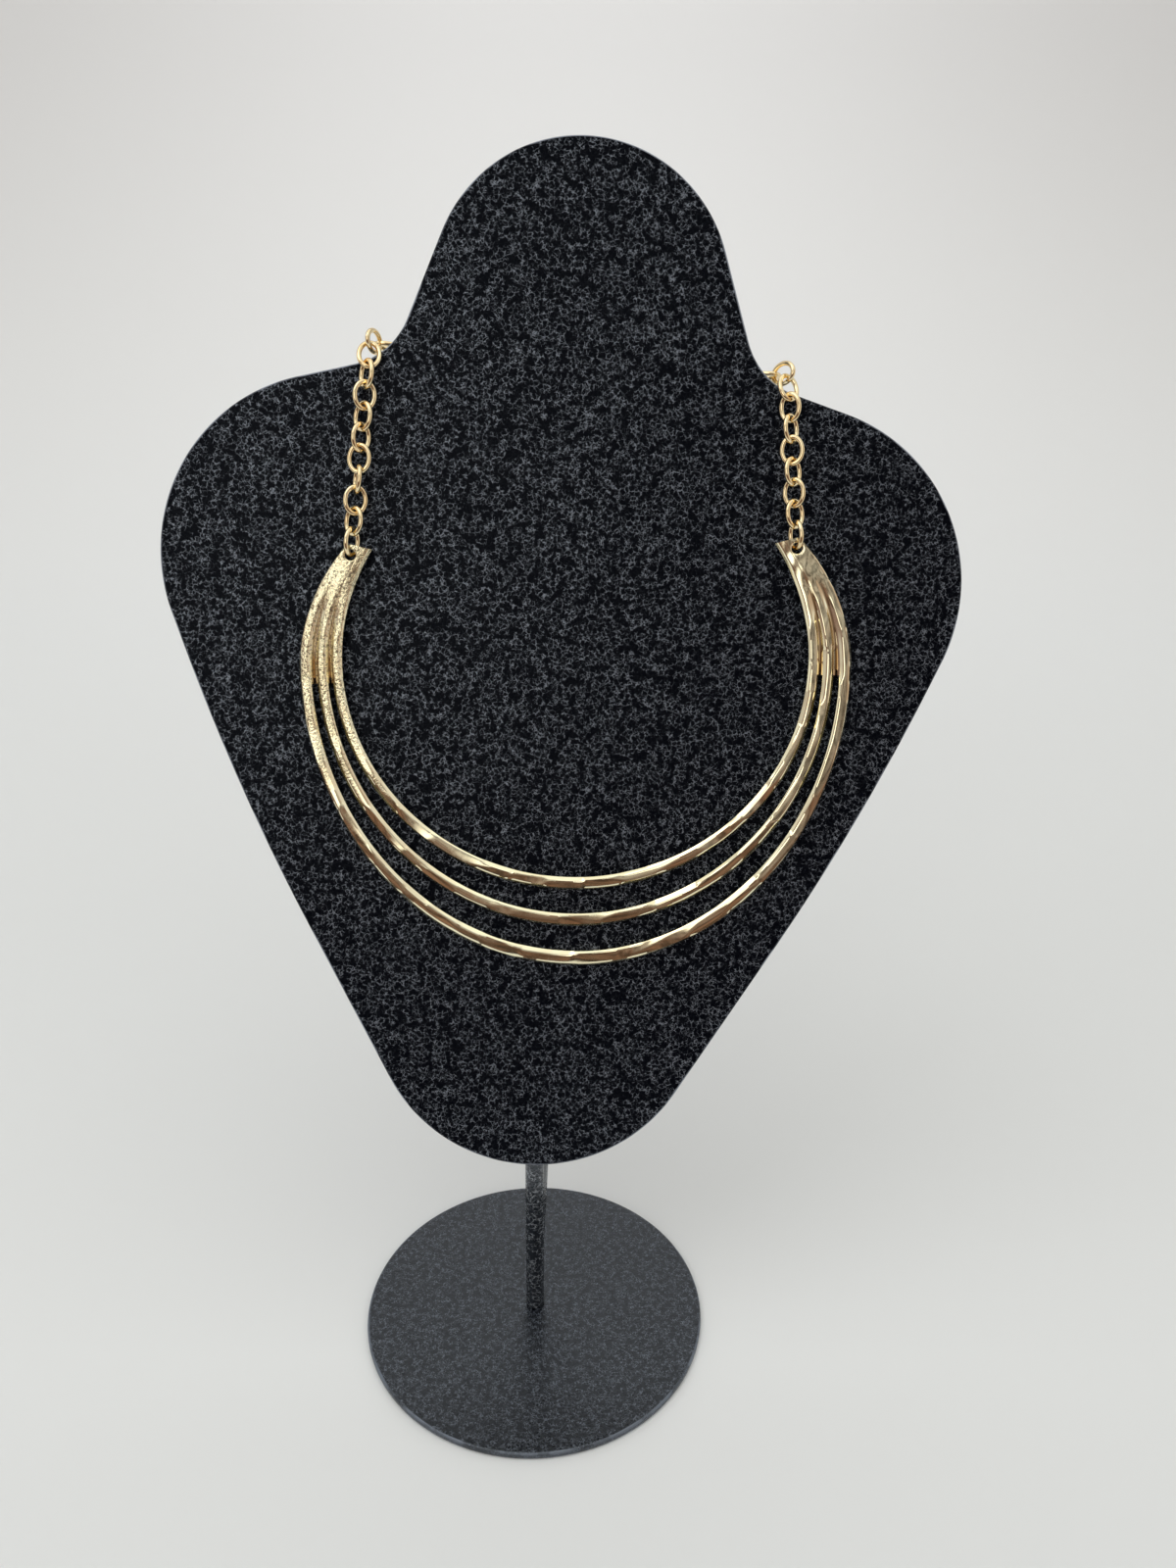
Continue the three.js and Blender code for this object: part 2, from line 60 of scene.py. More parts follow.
camera_data = bpy.data.cameras.new("photo_camera")
camera_data.sensor_width = 36
camera_data.lens = FOCAL_LENGTH
camera_data.clip_start = 0.01
camera = bpy.data.objects.new("photo_camera", camera_data)
camera_axes = np.column_stack([view_right, view_up, -ahead])
camera.matrix_world = Matrix.LocRotScale(np.array(CAMERA_PLACE) * MM, Matrix(camera_axes.tolist()), None)
bpy.context.scene.collection.objects.link(camera)
bpy.context.scene.camera = camera
bpy.context.scene.view_settings.view_transform = "Standard"

# The studio: one pale sheet that is the floor and curves up into the backdrop, under two large soft lamps.
# The room in front of the stand is dim and warm, and the metal shows it.
SHEET_HALF_WIDTH = 2600
SHEET_FRONT = -340
SHEET_CURVE_START = 900
SHEET_CURVE = 700
SHEET_TOP = 2600
SHEET_COLOUR = (0.785, 0.803, 0.818, 1)
SHEET_ROUGHNESS = 0.6
SHEET_STEPS = 24
SHARP_EDGE = 32


def mesh_piece(name, points, faces, material):
    """A mesh object at the origin from points in millimetres, smooth but for its sharp edges."""
    mesh = bpy.data.meshes.new(name)
    mesh.from_pydata((np.asarray(points, float) * MM).tolist(), [], faces)
    mesh.polygons.foreach_set("use_smooth", np.ones(len(mesh.polygons), bool))
    mesh.set_sharp_from_angle(angle=np.radians(SHARP_EDGE))
    mesh.materials.append(material)
    piece = bpy.data.objects.new(name, mesh)
    bpy.context.scene.collection.objects.link(piece)
    return piece


def sheet_profile(steps):
    """Depth and height along the sheet: flat, then a quarter circle, then straight up."""
    bend = np.linspace(0, np.pi / 2, steps)
    depth = SHEET_CURVE_START + SHEET_CURVE * np.sin(bend)
    height = SHEET_CURVE * (1 - np.cos(bend))
    depth = np.concatenate([[SHEET_FRONT], depth, [depth[-1]]])
    height = np.concatenate([[0], height, [SHEET_TOP]])
    return depth, height


def grid_quads(rows, columns, around_rows=False, around_columns=False):
    """Quads of a grid of points that is open, or joined to itself along either way."""
    number = np.arange(rows * columns).reshape(rows, columns)
    if around_rows:
        number = np.vstack([number, number[:1]])
    if around_columns:
        number = np.hstack([number, number[:, :1]])
    corners = [number[:-1, :-1], number[1:, :-1], number[1:, 1:], number[:-1, 1:]]
    return np.stack([c.ravel() for c in corners], axis=1)


sheet_material = bpy.data.materials.new("studio_sheet")
sheet_material.use_nodes = True
sheet_shader = sheet_material.node_tree.nodes["Principled BSDF"]
sheet_shader.inputs["Base Color"].default_value = SHEET_COLOUR
sheet_shader.inputs["Roughness"].default_value = SHEET_ROUGHNESS
depth, height = sheet_profile(SHEET_STEPS)
sides = np.array([-SHEET_HALF_WIDTH, SHEET_HALF_WIDTH])
sheet_points = np.stack(
    [
        np.broadcast_to(sides, (len(depth), 2)),
        np.broadcast_to(depth[:, None], (len(depth), 2)),
        np.broadcast_to(height[:, None], (len(depth), 2)),
    ],
    axis=-1,
).reshape(-1, 3)
sheet_quads = grid_quads(len(depth), 2)[:, ::-1].tolist()
sheet = mesh_piece("studio_sheet", sheet_points, sheet_quads, sheet_material)

world = bpy.data.worlds.new("studio_room")
bpy.context.scene.world = world
world.use_nodes = True
room = world.node_tree
room.nodes.clear()


def add_node(tree, kind, settings=(), **inputs):
    """A shader node of a kind, with settings as (name, value) pairs.

    Inputs go by the socket's name, or by its number after an underscore, and are values or other sockets."""
    node = tree.nodes.new(kind)
    for key, value in settings:
        setattr(node, key, value)
    for key, value in inputs.items():
        socket = node.inputs[int(key[1:]) if key[0] == "_" else key.replace("_", " ")]
        if isinstance(value, bpy.types.NodeSocket):
            tree.links.new(value, socket)
        else:
            socket.default_value = value
    return node


def ramp(tree, value, low, high, start=0.0, end=1.0):
    """Smooth step of a value from low to high, put out between start and end."""
    node = add_node(
        tree,
        "ShaderNodeMapRange",
        [("interpolation_type", "SMOOTHSTEP")],
        Value=value,
        From_Min=low,
        From_Max=high,
        To_Min=start,
        To_Max=end,
    )
    return node.outputs["Result"]


def noise(tree, place, scale, detail, roughness=0.5):
    """Smooth random values round a place, with so many waves a metre and so many finer layers."""
    return add_node(tree, "ShaderNodeTexNoise", Vector=place, Scale=scale, Detail=detail, Roughness=roughness)


def arithmetic(tree, operation, first, second=0.0, third=0.0):
    """One step of arithmetic on values that change over a surface."""
    node = add_node(tree, "ShaderNodeMath", [("operation", operation)], _0=first, _1=second, _2=third)
    return node.outputs[0]


def blend(tree, share, first, second):
    """Mix of two colours by a share."""
    node = add_node(tree, "ShaderNodeMix", [("data_type", "RGBA")])
    for socket, value in ((node.inputs[0], share), (node.inputs[6], first), (node.inputs[7], second)):
        if isinstance(value, bpy.types.NodeSocket):
            tree.links.new(value, socket)
        else:
            socket.default_value = value
    return node.outputs[2]


# Bands of the room in front of the stand, from far below the horizon to high above it: (height, colour).
ROOM_BANDS = (
    (-0.60, (0.85, 0.80, 0.66, 1)),
    (-0.34, (0.42, 0.30, 0.23, 1)),
    (-0.27, (0.03, 0.02, 0.015, 1)),
    (-0.20, (0.48, 0.28, 0.20, 1)),
    (-0.02, (0.38, 0.21, 0.155, 1)),
    (0.005, (0.02, 0.012, 0.01, 1)),
    (0.03, (0.26, 0.26, 0.18, 1)),
    (0.09, (0.38, 0.37, 0.25, 1)),
    (0.115, (0.03, 0.02, 0.015, 1)),
    (0.15, (0.42, 0.28, 0.21, 1)),
    (0.22, (0.30, 0.26, 0.19, 1)),
    (0.26, (0.04, 0.04, 0.03, 1)),
    (0.31, (0.22, 0.24, 0.18, 1)),
    (0.48, (0.26, 0.28, 0.21, 1)),
    (0.53, (1.70, 1.70, 1.50, 1)),
    (0.60, (1.40, 1.40, 1.35, 1)),
)
BAND_REACH = 0.6
BAND_WAVE = 0.08
BLOT_TONE = (0.05, 0.04, 0.03, 1)
# The rest of the room round those bands: (axis, where it starts, where it is full, colour).
ROOM_SIDES = (
    ("X", -0.46, -0.54, (0.46, 0.32, 0.29, 1)),
    ("X", 0.44, 0.54, (0.90, 0.70, 0.59, 1)),
    ("Y", -0.62, -0.15, (1.45, 1.45, 1.42, 1)),
    ("Z", 0.50, 0.70, (1.45, 1.45, 1.40, 1)),
    ("Z", 0.72, 0.90, (2.00, 2.00, 1.88, 1)),
)
# A bright window high on the left: its direction, and the cosines between which it fades.
WINDOW = (-0.27, -0.91, 0.32)
WINDOW_FADE = (0.955, 0.978)
WINDOW_TONE = (3.3, 3.25, 3.0, 1)
ROOM_STRENGTH = 0.55

direction = add_node(room, "ShaderNodeTexCoord").outputs["Generated"]
split = add_node(room, "ShaderNodeSeparateXYZ", Vector=direction)
waves = noise(room, direction, 6.0, 2.0)
lift = ramp(room, waves.outputs["Fac"], 0.3, 0.7, -BAND_WAVE, BAND_WAVE)
warped = arithmetic(room, "ADD", split.outputs["Z"], lift)
level = add_node(room, "ShaderNodeMapRange", Value=warped, From_Min=-BAND_REACH, From_Max=BAND_REACH)
bands = add_node(room, "ShaderNodeValToRGB", Fac=level.outputs["Result"])
stops = bands.color_ramp.elements
for number, (band_height, colour) in enumerate(ROOM_BANDS):
    stop = stops[number] if number < 2 else stops.new(0.5)
    stop.position = (band_height + BAND_REACH) / (2 * BAND_REACH)
    stop.color = colour
blots = noise(room, direction, 13.0, 2.5, 0.55)
blotted = ramp(room, blots.outputs["Fac"], 0.35, 0.65, 0.0, 0.85)
room_tone = blend(room, blotted, bands.outputs["Color"], BLOT_TONE)
for axis, start, full, colour in ROOM_SIDES:
    room_tone = blend(room, ramp(room, split.outputs[axis], start, full), room_tone, colour)
towards = add_node(room, "ShaderNodeVectorMath", [("operation", "NORMALIZE")], _0=direction)
facing = add_node(
    room, "ShaderNodeVectorMath", [("operation", "DOT_PRODUCT")], _0=towards.outputs[0], _1=WINDOW
)
room_tone = blend(room, ramp(room, facing.outputs["Value"], *WINDOW_FADE), room_tone, WINDOW_TONE)
background = add_node(room, "ShaderNodeBackground", Color=room_tone, Strength=ROOM_STRENGTH)
add_node(room, "ShaderNodeOutputWorld", Surface=background.outputs[0])

# Square soft lamps: name, place and aim in millimetres, side in metres, power in watts.
LAMPS = (
    ("light_above_left", (-620, -420, 1250), (0, 0, 150), 0.9, 2.3),
    ("light_on_backdrop", (0, 900, 1300), (0, 1600, 950), 0.9, 3.9),
)
for name, place, aim, side, power in LAMPS:
    lamp_data = bpy.data.lights.new(name, "AREA")
    lamp_data.size = side
    lamp_data.energy = power
    lamp = bpy.data.objects.new(name, lamp_data)
    out = np.array(place, float) - np.array(aim)
    out /= np.linalg.norm(out)
    across = np.cross([0, 0, 1], out)
    across /= np.linalg.norm(across)
    lamp_axes = Matrix(np.column_stack([across, np.cross(out, across), out]).tolist())
    lamp.matrix_world = Matrix.LocRotScale(np.array(place, float) * MM, lamp_axes, None)
    bpy.context.scene.collection.objects.link(lamp)

# The bust plate: 1.5 mm steel sheet cut to a neck, shoulders and a pointed foot, with its edges rounded,
# under a glossy black hammertone powder coat with a network of fine silver veins.
PLATE_THICKNESS = 1.5
PLATE_LEAN = 15
PLATE_SWAY = 3.1
PLATE_RISE = 55.4
PLATE_SHIFT = -1.9
PLATE_HEIGHT = 280
SEAT_GAP = 0.3
BASE_THICKNESS = 2
ROD_RADIUS = 2.75
RIM_ROUND = 0.5
RIM_LAND = 0.6
RIM_STEPS = 6
# Corners of the outline as shares of the plate's height: across, up, radius; and steps along the arc.
PLATE_CORNERS = (
    (0, 1.2821, 0.1407, 96),
    (0.1729, 0.7911, 0.0711, 28),
    (0.4446, 0.715, 0.1707, 56),
    (0.3043, 0.3682, 2.21, 30),
    (0, -0.1661, 0.1661, 84),
)


def turn_about(axis, degrees):
    """Rotation matrix about the x or the z axis."""
    c, s = np.cos(np.radians(degrees)), np.sin(np.radians(degrees))
    if axis == "x":
        return np.array([[1, 0, 0], [0, c, -s], [0, s, c]])
    return np.array([[c, -s, 0], [s, c, 0], [0, 0, 1]])


plate_axes = turn_about("x", 90 - PLATE_LEAN) @ turn_about("z", -PLATE_SWAY)
plate_seat = PLATE_THICKNESS / np.cos(np.radians(PLATE_LEAN))
plate_place = np.array([PLATE_SHIFT, -ROD_RADIUS - SEAT_GAP - plate_seat, BASE_THICKNESS + PLATE_RISE])


def on_plate(points):
    """Points across, up and out from the plate's face, put into the stand's frame."""
    return points @ plate_axes.T + plate_place


def plate_ring(inset):
    """The plate's outline moved inwards: each corner's arc keeps its centre and changes its radius."""
    right = list(PLATE_CORNERS[1:-1])
    left = [(-c[0], *c[1:]) for c in right]
    corners = [PLATE_CORNERS[0], *left, PLATE_CORNERS[-1], *right[::-1]]
    place = np.array([c[:2] for c in corners]) * PLATE_HEIGHT
    arcs = []
    for i, (_, _, radius, steps) in enumerate(corners):
        radius = radius * PLATE_HEIGHT
        before = place[i - 1] - place[i]
        after = place[(i + 1) % len(corners)] - place[i]
        before = before / np.linalg.norm(before)
        after = after / np.linalg.norm(after)
        half = np.arccos(before @ after) / 2
        bisector = (before + after) / np.linalg.norm(before + after)
        middle = place[i] + bisector * radius / np.sin(half)
        start = place[i] + before * radius / np.tan(half) - middle
        end = place[i] + after * radius / np.tan(half) - middle
        first = np.arctan2(start[1], start[0])
        sweep = (np.arctan2(end[1], end[0]) - first + np.pi) % (2 * np.pi) - np.pi
        angle = first + sweep * np.linspace(0, 1, steps + 1)
        reach = radius - inset * np.sign(sweep)
        arcs.append(middle + reach * np.stack([np.cos(angle), np.sin(angle)], axis=1))
    return np.concatenate(arcs)


def rounded_rim(thickness, rounding, land, steps):
    """Inset and height round a sheet's edge: a flat land, a quarter circle to the edge, and the same back."""
    angle = np.linspace(0, np.pi / 2, steps)
    inset = rounding * (1 - np.sin(angle))
    height = rounding * (1 - np.cos(angle))
    inset = np.concatenate([[rounding + land], inset, inset[::-1], [rounding + land]])
    height = np.concatenate([[0], -height, (height - thickness)[::-1], [-thickness]])
    return inset, height


def capped_rings(rings):
    """Points and faces of closed rings of equal counts, joined in turn, with a flat face at each end."""
    rings = np.asarray(rings)
    count, sides = rings.shape[:2]
    faces = grid_quads(count, sides, around_columns=True).tolist()
    faces.append(list(range(sides)))
    faces.append(list(range(count * sides - 1, (count - 1) * sides - 1, -1)))
    return rings.reshape(-1, 3), faces


def shader_group(name, inputs, outputs):
    """An empty shader node group with named sockets, each given as (name, socket type, default)."""
    group = bpy.data.node_groups.new(name, "ShaderNodeTree")
    for label, kind, value in inputs:
        socket = group.interface.new_socket(label, in_out="INPUT", socket_type=kind)
        if value is not None:
            socket.default_value = value
    for label, kind in outputs:
        group.interface.new_socket(label, in_out="OUTPUT", socket_type=kind)
    return group


# The coat's pattern: waves a metre of each noise, and the push, width and height that it gives.
WAVER_SCALE = 1500.0
WAVER_PUSH = 0.0013
SWELL_SCALE = 1000.0
SWELL = (0.35, 1.5)
CURL_SCALE = 1000.0
CURL_WIDTH = 0.013
CURL_TONE = 0.50
FADING_SCALE = 520.0
FADING_LEAST = 0.03
DOME_REACH = 0.30
DOME_HEIGHT = 0.00012
# Noise that breaks up the painted rim highlight: waves a metre, and the range that it gives.
RIM_HIGHLIGHT_BREAKS_SCALE = 90.0
RIM_HIGHLIGHT_BREAKS = (0.10, 1.6)
# Its tones: black islands tinted blue as a painted reflection of the sky, a cool tint of the gloss, and how
# far a vein or the painted rim highlight covers, shines and spreads light.
ISLAND_AND_SHEEN_TONE = (0.0007, 0.0012, 0.0032, 1)
COAT_TINT = (0.82, 0.90, 1.0, 1)
VEIN_COVER = 0.92
VEIN_METAL = 0.55
VEIN_ROUGHNESS = 0.36

FLOAT, VECTOR = "NodeSocketFloat", "NodeSocketVector"
hammertone = shader_group(
    "hammertone",
    [("Vector", VECTOR, None), ("Cells", FLOAT, 430.0), ("Vein", FLOAT, 0.09)],
    [("Veins", FLOAT), ("Height", FLOAT)],
)
# The edges of cells that waver are the network. Fine curls join it, and both fade out in places.
given = add_node(hammertone, "NodeGroupInput")
where = given.outputs["Vector"]
waver = noise(hammertone, where, WAVER_SCALE, 2.0)
centred = add_node(
    hammertone,
    "ShaderNodeVectorMath",
    [("operation", "SUBTRACT")],
    _0=waver.outputs["Color"],
    _1=(0.5, 0.5, 0.5),
)
push = add_node(
    hammertone, "ShaderNodeVectorMath", [("operation", "SCALE")], _0=centred.outputs[0], Scale=WAVER_PUSH
)
moved = add_node(hammertone, "ShaderNodeVectorMath", [("operation", "ADD")], _0=where, _1=push.outputs[0])
cells = add_node(
    hammertone,
    "ShaderNodeTexVoronoi",
    [("feature", "DISTANCE_TO_EDGE")],
    Vector=moved.outputs[0],
    Scale=given.outputs["Cells"],
)
swell = ramp(hammertone, noise(hammertone, where, SWELL_SCALE, 2.0).outputs["Fac"], 0.38, 0.62, *SWELL)
vein_width = arithmetic(hammertone, "MULTIPLY", given.outputs["Vein"], swell)
network = ramp(hammertone, cells.outputs["Distance"], 0.0, vein_width, 1.0, 0.0)
curls = noise(hammertone, moved.outputs[0], CURL_SCALE, 1.0)
ridge = arithmetic(hammertone, "SUBTRACT", curls.outputs["Fac"], 0.5)
threads = ramp(hammertone, arithmetic(hammertone, "ABSOLUTE", ridge), 0.0, CURL_WIDTH, CURL_TONE, 0.0)
both = arithmetic(hammertone, "MAXIMUM", network, threads)
fading = noise(hammertone, where, FADING_SCALE, 3.0)
patchy = ramp(hammertone, fading.outputs["Fac"], 0.40, 0.54, FADING_LEAST, 1.0)
veins = arithmetic(hammertone, "MULTIPLY", both, patchy)
domes = ramp(hammertone, cells.outputs["Distance"], 0.0, DOME_REACH)
add_node(hammertone, "NodeGroupOutput", Veins=veins, Height=domes)


def coated_black(name, cells, vein, vein_and_rim_highlight_tone, shine, roughness):
    """Glossy black powder coat: dark islands that dome slightly, silver veins, and a painted highlight of
    silver along a rounded rim.
    """
    material = bpy.data.materials.new(name)
    material.use_nodes = True
    tree = material.node_tree
    shader = tree.nodes["Principled BSDF"]
    place = add_node(tree, "ShaderNodeTexCoord").outputs["Object"]
    skin = add_node(
        tree, "ShaderNodeGroup", [("node_tree", hammertone)], Vector=place, Cells=cells, Vein=vein
    )
    # Painted highlight on the rounded rim: the silver vein tone where the rim turns, broken up by noise.
    rim = add_node(tree, "ShaderNodeAttribute", [("attribute_name", "painted_rim_highlight")])
    rim_highlight_breaks = ramp(tree, noise(tree, place, RIM_HIGHLIGHT_BREAKS_SCALE, 3.0).outputs["Fac"], 0.36, 0.62, *RIM_HIGHLIGHT_BREAKS)
    rim_highlight = arithmetic(tree, "MULTIPLY", rim.outputs["Fac"], rim_highlight_breaks)
    silver = arithmetic(tree, "MAXIMUM", skin.outputs["Veins"], rim_highlight)
    cover = arithmetic(tree, "MULTIPLY", silver, VEIN_COVER)
    tree.links.new(blend(tree, cover, ISLAND_AND_SHEEN_TONE, vein_and_rim_highlight_tone), shader.inputs["Base Color"])
    tree.links.new(ramp(tree, silver, 0, 1, 0.0, VEIN_METAL), shader.inputs["Metallic"])
    tree.links.new(ramp(tree, silver, 0, 1, roughness, VEIN_ROUGHNESS), shader.inputs["Roughness"])
    shader.inputs["Specular IOR Level"].default_value = shine
    shader.inputs["Specular Tint"].default_value = COAT_TINT
    dent = add_node(tree, "ShaderNodeBump", Strength=0.3, Distance=DOME_HEIGHT, Height=skin.outputs["Height"])
    tree.links.new(dent.outputs["Normal"], shader.inputs["Normal"])
    return material


def paint_rim_highlight(piece, inset, rounding):
    """Painted highlight along a rounded rim, as silver coat colour: none on the flats, full halfway round, a
    quarter on the edge.

    That is twice the sine by the cosine of the angle turned, plus a quarter of the sine."""
    sine = np.clip(1 - inset / rounding, 0, 1)
    share = np.clip(2 * sine * np.sqrt(1 - sine**2) + 0.25 * sine, 0, 1)
    painted_share = np.repeat(share, len(piece.data.vertices) // len(share)).astype(np.float32)
    piece.data.attributes.new("painted_rim_highlight", "FLOAT", "POINT").data.foreach_set("value", painted_share)


plate_coat = coated_black(
    "hammertone_plate", cells=760.0, vein=0.062, vein_and_rim_highlight_tone=(0.265, 0.295, 0.35, 1), shine=0.05, roughness=0.24
)
rim_inset, rim_height = rounded_rim(PLATE_THICKNESS, RIM_ROUND, RIM_LAND, RIM_STEPS)
plate_rings = []
for inset, height in zip(rim_inset, rim_height):
    ring = plate_ring(inset)
    plate_rings.append(on_plate(np.column_stack([ring, np.full(len(ring), height)])))
plate_points, plate_faces = capped_rings(plate_rings)
plate_sheet = mesh_piece("bust_plate", plate_points, plate_faces, plate_coat)
# This paints a highlight along the plate's rounded rim.
paint_rim_highlight(plate_sheet, rim_inset, RIM_ROUND)
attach(plate_sheet, "root")
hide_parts("stand_plate")

# The base: a heavy steel disc, cut round and turned to a rounded rim, under the same coat. It lies flat and
# carries the post at its middle.
BASE_RADIUS = 50.8
BASE_ROUND = 0.7
BASE_LAND = 1.2
BASE_SIDES = 160

base_inset, base_height = rounded_rim(BASE_THICKNESS, BASE_ROUND, BASE_LAND, RIM_STEPS)
base_angle = np.linspace(0, 2 * np.pi, BASE_SIDES, endpoint=False)
base_reach = (BASE_RADIUS - base_inset)[:, None]
base_rings = np.stack(
    [
        base_reach * np.cos(base_angle),
        base_reach * np.sin(base_angle),
        np.broadcast_to((BASE_THICKNESS + base_height)[:, None], (len(base_inset), BASE_SIDES)),
    ],
    axis=-1,
)
base_points, base_faces = capped_rings(base_rings)
# The base's veins are tinted blue as a painted reflection of the sky.
base_coat = coated_black(
    "hammertone_base", cells=1150.0, vein=0.105, vein_and_rim_highlight_tone=(0.14, 0.16, 0.195, 1), shine=0.72, roughness=0.06
)
base_disc = mesh_piece("base_disc", base_points, base_faces, base_coat)
# This paints a highlight along the base's rounded rim.
paint_rim_highlight(base_disc, base_inset, BASE_ROUND)
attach(base_disc, "root")
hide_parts("stand_base")

# The post and its brace: two steel rods, the brace welded to the post's back and leaning with the plate.
# Their tops are cut to the plate's slope.
ROD_SIDES = 56
ROD_ROUND = 0.4
ROUND_STEPS = 4
DOME_SHARE = 0.98
DOME_STEPS = 10
TOP_DROP = 0.3
TOP_INSET = 0.25
BRACE_HEIGHT = 24
BRACE_LEAN = 5
BRACE_SWAY = 2.5
BRACE_SET_BACK = 2


def cut_rod(foot, along, domed):
    """A rod from its foot along a direction, up to the plane just behind the plate.

    Each side line starts on a ring about the foot and ends where it meets that plane. The foot is rounded
    by a quarter circle, small for a turned edge or as large as the rod for a dome."""
    along = along / np.linalg.norm(along)
    side = np.cross([0, 1, 0], along)
    side /= np.linalg.norm(side)
    front = np.cross(along, side)
    angle = np.linspace(0, 2 * np.pi, ROD_SIDES, endpoint=False)
    spoke = np.cos(angle)[:, None] * side + np.sin(angle)[:, None] * front
    rounding = DOME_SHARE * ROD_RADIUS if domed else ROD_ROUND
    rings = []
    for bend in np.linspace(0, np.pi / 2, DOME_STEPS if domed else ROUND_STEPS):
        spread = ROD_RADIUS - rounding * (1 - np.sin(bend))
        rings.append(foot + spread * spoke + rounding * (1 - np.cos(bend)) * along)
    behind = on_plate(np.array([[0, 0, -PLATE_THICKNESS - SEAT_GAP]]))[0]
    normal = plate_axes[:, 2]
    edge = foot + ROD_RADIUS * spoke
    reach = ((behind - edge) @ normal) / (along @ normal)
    rings.append(edge + (reach[:, None] - TOP_DROP) * along)
    rings.append(foot + (ROD_RADIUS - TOP_INSET) * spoke + reach[:, None] * along)
    return capped_rings(rings)


post_foot = np.array([0, 0, BASE_THICKNESS + SEAT_GAP])
post_points, post_faces = cut_rod(post_foot, np.array([0.0, 0, 1]), False)
sway, lean = np.radians([BRACE_SWAY, BRACE_LEAN])
brace_along = np.array([np.cos(lean) * np.sin(sway), np.sin(lean), np.cos(lean) * np.cos(sway)])
brace_foot = np.array([0, BRACE_SET_BACK, BASE_THICKNESS + BRACE_HEIGHT])
brace_points, brace_faces = cut_rod(brace_foot, brace_along, True)
post_coat = coated_black(
    "hammertone_post", cells=700.0, vein=0.08, vein_and_rim_highlight_tone=(0.36, 0.385, 0.42, 1), shine=1.0, roughness=0.07
)
post = mesh_piece("post_and_brace", post_points, post_faces, post_coat)
brace = mesh_piece("brace_blank", brace_points, brace_faces, post_coat)
weld = post.modifiers.new("weld", "BOOLEAN")
weld.operation = "UNION"
weld.solver = "EXACT"
weld.object = brace
bpy.context.view_layer.update()
welded = bpy.data.meshes.new_from_object(post.evaluated_get(bpy.context.evaluated_depsgraph_get()))
post.modifiers.clear()
post.data = welded
bpy.data.objects.remove(brace)
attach(post, "root")
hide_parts("stand_post")

# The collar: three flat bars of pale gold-toned metal that meet in a plate at each end, cast in one piece.
# Each bar is hammered into long uneven facets, and its two edges are filed to narrow bright bevels.
COLLAR_ACROSS = 11.5
COLLAR_UP = 60.9
COLLAR_TURN = 4.6
COLLAR_THICKNESS = 2
COLLAR_HALF_WIDTH = 74.1
COLLAR_DROP = 82.1
COLLAR_RISE = 58
# Inner and outer half widths as shares of the half width. Lowest place of the inner and the outer edge, and
# the height of the widest place, as shares of the drop.
BARS = (
    (0.8455, 0.8839, 0.3057, 0.2631, 1.0268),
    (0.8988, 0.9379, 0.1803, 0.1376, 1.0146),
    (0.9582, 1.0, 0.0499, 0.0, 1.0),
)
SLOT_TOP = 79.5
SLOT_POINT = 1.5
GROOVE_TOP = 104
GROOVE_DEPTH = 0.95
END_THICKNESS = 1.8
HOLE_DIAMETER = 3
HOLE_INSET = 4.8
HOLE_UP = 113.2
END_LIGAMENT = 2.7
END_WIDTH = 5.6
END_CORNER = 0.55
END_CORNER_BULGE = 0.5
COLLAR_LIFT = 2.9
TOP_TRIES = 30
COLLAR_ROWS = 820
BAR_COLUMNS = 14
GROOVE_COLUMNS = 2
FLATTENING_START = 86
FLATTENING_END = 109
# Hammered facets: lengths along a bar, and the most that one is deep, skewed, tilted and bowed.
FACET_SEED = 11
FACETS_MOST = 50
FACET_LENGTHS = (5.5, 17.0)
FACET_OVERRUN = 6
FACET_DEPTH = 0.04
FACET_SKEW = 3.6
FACET_TILT = 0.075
FACET_BOW = (0.7, 1.6)
DISH_CURVE = 0.0022
BAR_TOP = COLLAR_THICKNESS - 0.02
BAR_CROWN = 0.034
SMOOTH_ROWS = 11
# Filed bevels: height of the edge, and the step and slope that each facet has there.
EDGE_HEIGHT_INNER = 1.36
EDGE_HEIGHT_OUTER = 1.10
INNER_STEPS = (-0.32, 0.30)
OUTER_STEPS = (-0.20, 0.16)
INNER_SLOPES = (0.75, 1.15)
OUTER_SLOPES = (1.0, 1.5)
# The end plates: their crown and roll, the bevels of their edges, and ripples as (height, up, across).
END_TOP = END_THICKNESS + 0.15
END_CROWN = 0.012
END_EDGE_INNER = 1.1
END_EDGE_OUTER = 1.0
END_SLOPE_OUTER = 1.3
INNER_ROLL = 0.42
INNER_ROLL_WIDTH = 4.0
END_RIPPLES = ((0.03, 0.9, 0.4), (0.02, -0.6, 1.7))
HOLE_SNAP = 0.6
HOLE_CHAMFER = 0.22
HOLE_CHAMFER_WIDTH = 0.3
# The left end's grain starts this high and is full over this rise. A groove carries painted shade and
# gold-on-gold reflection to a little over its top and a web from a little under the slot's top, each fading
# over its rise.
GRAIN_START = 48
GRAIN_RISE = 30
GROOVE_SHADE_MOST = 0.7
GROOVE_SHADE_OVER = 2
GROOVE_SHADE_RISE = 10
WEB_SHADE_UNDER = 3
WEB_SHADE_RISE = 9

collar_tilt = np.degrees(np.arcsin((COLLAR_LIFT - SEAT_GAP) / HOLE_UP))
collar_axes = turn_about("x", collar_tilt) @ turn_about("z", COLLAR_TURN)
collar_place = np.array([COLLAR_ACROSS, COLLAR_UP, SEAT_GAP])

